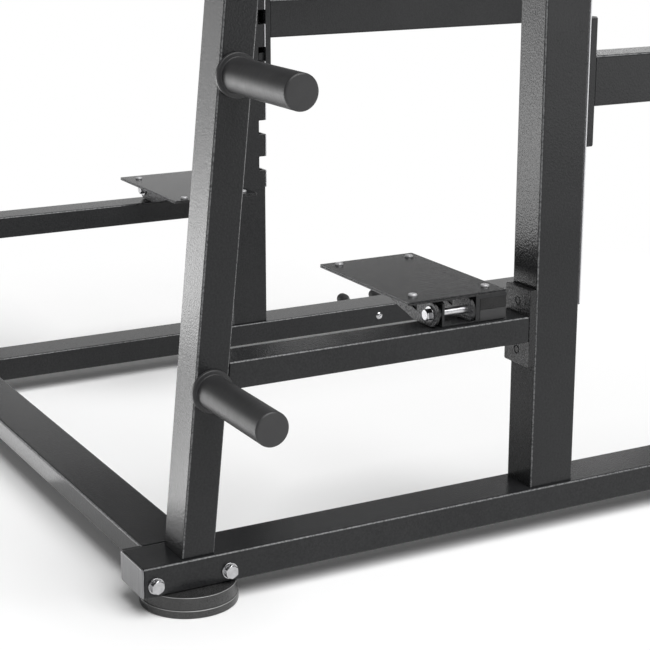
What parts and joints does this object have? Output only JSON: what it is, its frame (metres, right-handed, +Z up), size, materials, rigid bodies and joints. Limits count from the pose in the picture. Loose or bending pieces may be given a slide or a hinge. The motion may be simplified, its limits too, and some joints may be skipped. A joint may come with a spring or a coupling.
{
  "type": "power rack",
  "caption": "Half-open power rack with notched uprights, leaning weight storage posts, hook-on spotter arms and bar hooks, and fold-up spotter steps on both sides.",
  "frame": {"origin": "on the floor at the centre of the rack's footprint, halfway between the ends of the base tubes and between the two sides", "axes": "+Z up, -Y towards the rack's open front where the spotter arms point, +X towards the right side as seen from the front"},
  "size_m": [1.5688, 1.53, 2.2722],
  "materials": {
    "powder_coat": "fine textured charcoal powder coat",
    "satin_black": "satin black",
    "zinc_plate": "bright zinc plate",
    "brushed_steel": "brushed",
    "black_plastic": "matt moulded plastic",
    "black_rubber": "black rubber"
  },
  "bodies": {
    "frame": {"base_side_tube_left": "powder_coat", "base_end_cap_rear_left": "brushed_steel", "foot_disc_rear_left": "powder_coat", "foot_pad_rear_left": "black_rubber", "base_end_cap_front_left": "brushed_steel", "foot_disc_front_left": "powder_coat", "foot_pad_front_left": "black_rubber", "slanted_upright_left": "powder_coat", "main_upright_left": "powder_coat", "notch_strip_left": "brushed_steel", "step_beam_left": "powder_coat", "step_bracket_left": "powder_coat", "step_pin_left": "zinc_plate", "step_rest_riser_left": "powder_coat", "step_rest_pad_left": "black_rubber", "top_side_beam_left": "powder_coat", "weight_horn_left_1": "satin_black", "weight_horn_left_2": "satin_black", "weight_horn_left_3": "satin_black", "weight_horn_left_4": "satin_black", "band_peg_left_1": "satin_black", "band_peg_left_2": "satin_black", "base_side_tube_right": "powder_coat", "base_end_cap_rear_right": "brushed_steel", "foot_disc_rear_right": "powder_coat", "foot_pad_rear_right": "black_rubber", "base_end_cap_front_right": "brushed_steel", "foot_disc_front_right": "powder_coat", "foot_pad_front_right": "black_rubber", "slanted_upright_right": "powder_coat", "main_upright_right": "powder_coat", "notch_strip_right": "brushed_steel", "step_beam_right": "powder_coat", "step_bracket_right": "powder_coat", "step_pin_right": "zinc_plate", "step_rest_riser_right": "powder_coat", "step_rest_pad_right": "black_rubber", "top_side_beam_right": "powder_coat", "weight_horn_right_1": "satin_black", "weight_horn_right_2": "satin_black", "weight_horn_right_3": "satin_black", "weight_horn_right_4": "satin_black", "band_peg_right_1": "satin_black", "band_peg_right_2": "satin_black", "rear_base_tube": "powder_coat", "rear_top_tube": "powder_coat", "pull_up_bar": "zinc_plate"},
    "step_left": {"step_carrier_left": "powder_coat", "step_tread_left": "powder_coat"},
    "spotter_arm_left": {"arm_hook_left": "powder_coat", "arm_tube_left": "powder_coat"},
    "bar_holder_left": {"bar_hook_left": "powder_coat", "bar_hook_liner_left": "black_plastic"},
    "step_right": {"step_carrier_right": "powder_coat", "step_tread_right": "powder_coat"},
    "spotter_arm_right": {"arm_hook_right": "powder_coat", "arm_tube_right": "powder_coat"},
    "bar_holder_right": {"bar_hook_right": "powder_coat", "bar_hook_liner_right": "black_plastic"}
  },
  "joints": [
    {"name": "step_fold_left", "type": "hinge", "parent": "frame", "child": "step_left", "pos_m": [-0.565, 0.2275, 0.3863], "axis": [0, -1, 0], "range_deg": [0, 105]},
    {"name": "spotter_arm_lift_left", "type": "slide", "parent": "frame", "child": "spotter_arm_left", "axis": [0, 0, 1], "range_m": [0, 0.0125]},
    {"name": "bar_holder_lift_left", "type": "slide", "parent": "frame", "child": "bar_holder_left", "axis": [0, 0, 1], "range_m": [0, 0.0125]},
    {"name": "step_fold_right", "type": "hinge", "parent": "frame", "child": "step_right", "pos_m": [0.565, 0.2275, 0.3863], "axis": [0, 1, 0], "range_deg": [0, 105]},
    {"name": "spotter_arm_lift_right", "type": "slide", "parent": "frame", "child": "spotter_arm_right", "axis": [0, 0, 1], "range_m": [0, 0.0125]},
    {"name": "bar_holder_lift_right", "type": "slide", "parent": "frame", "child": "bar_holder_right", "axis": [0, 0, 1], "range_m": [0, 0.0125]}
  ]
}
